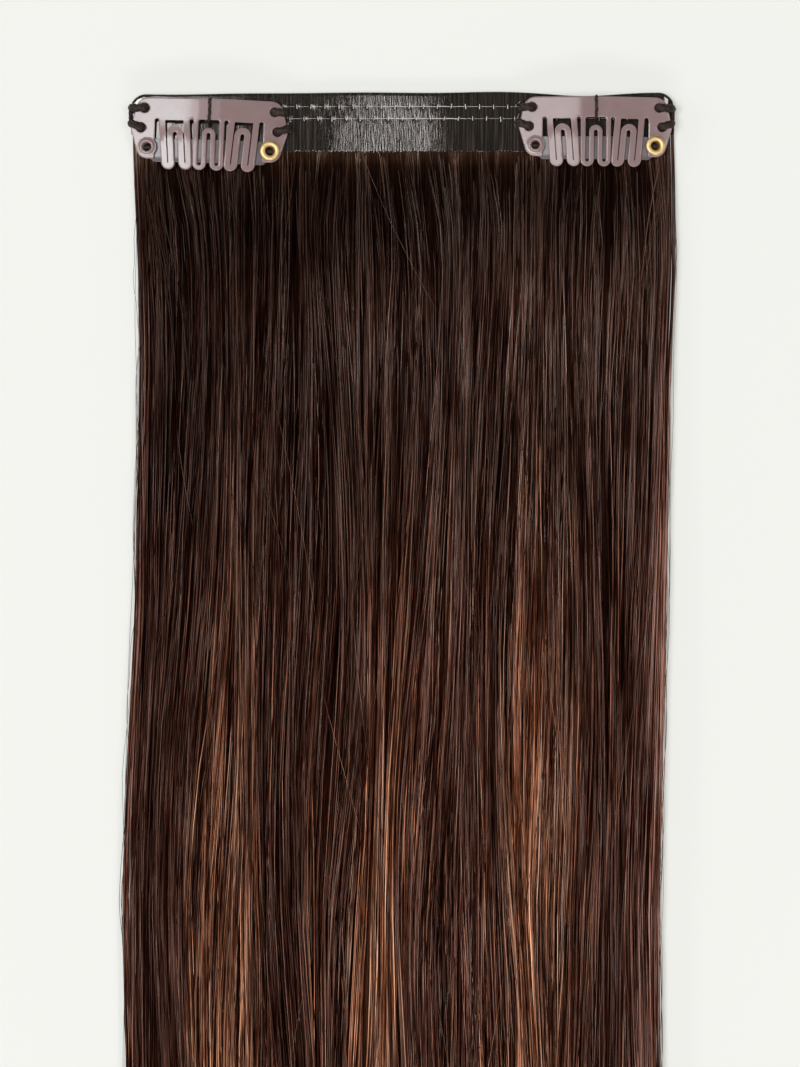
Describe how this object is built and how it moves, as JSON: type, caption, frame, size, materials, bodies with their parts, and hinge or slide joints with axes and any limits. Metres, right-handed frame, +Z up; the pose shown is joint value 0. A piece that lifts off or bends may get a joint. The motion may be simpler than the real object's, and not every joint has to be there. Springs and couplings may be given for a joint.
{
  "type": "clip-in hairpiece",
  "caption": "Straight hair filler on a seamless film weft with sprung comb clips sewn along its band, lying face up.",
  "frame": {"origin": "on the surface it lies on, under the middle of the whole piece", "axes": "+X along the band to the right as seen from above, +Y from the tips up to the band, +Z up"},
  "size_m": [0.1148, 0.4062, 0.006],
  "materials": {
    "film": "clear polyurethane film, semi gloss, over dark brown roots",
    "hair": "straight human hair, dark brown with caramel streaks",
    "paint": "satin mauve brown paint on spring steel",
    "brass": "bright rolled brass"
  },
  "bodies": {
    "root": {"weft_band": "film", "hair_fall": "hair", "left_clip_comb_plate": "paint", "left_clip_back_bar": "paint", "left_clip_paint_eyelet": "paint", "left_clip_brass_eyelet": "brass", "right_clip_comb_plate": "paint", "right_clip_back_bar": "paint", "right_clip_paint_eyelet": "paint", "right_clip_brass_eyelet": "brass"}
  },
  "joints": []
}
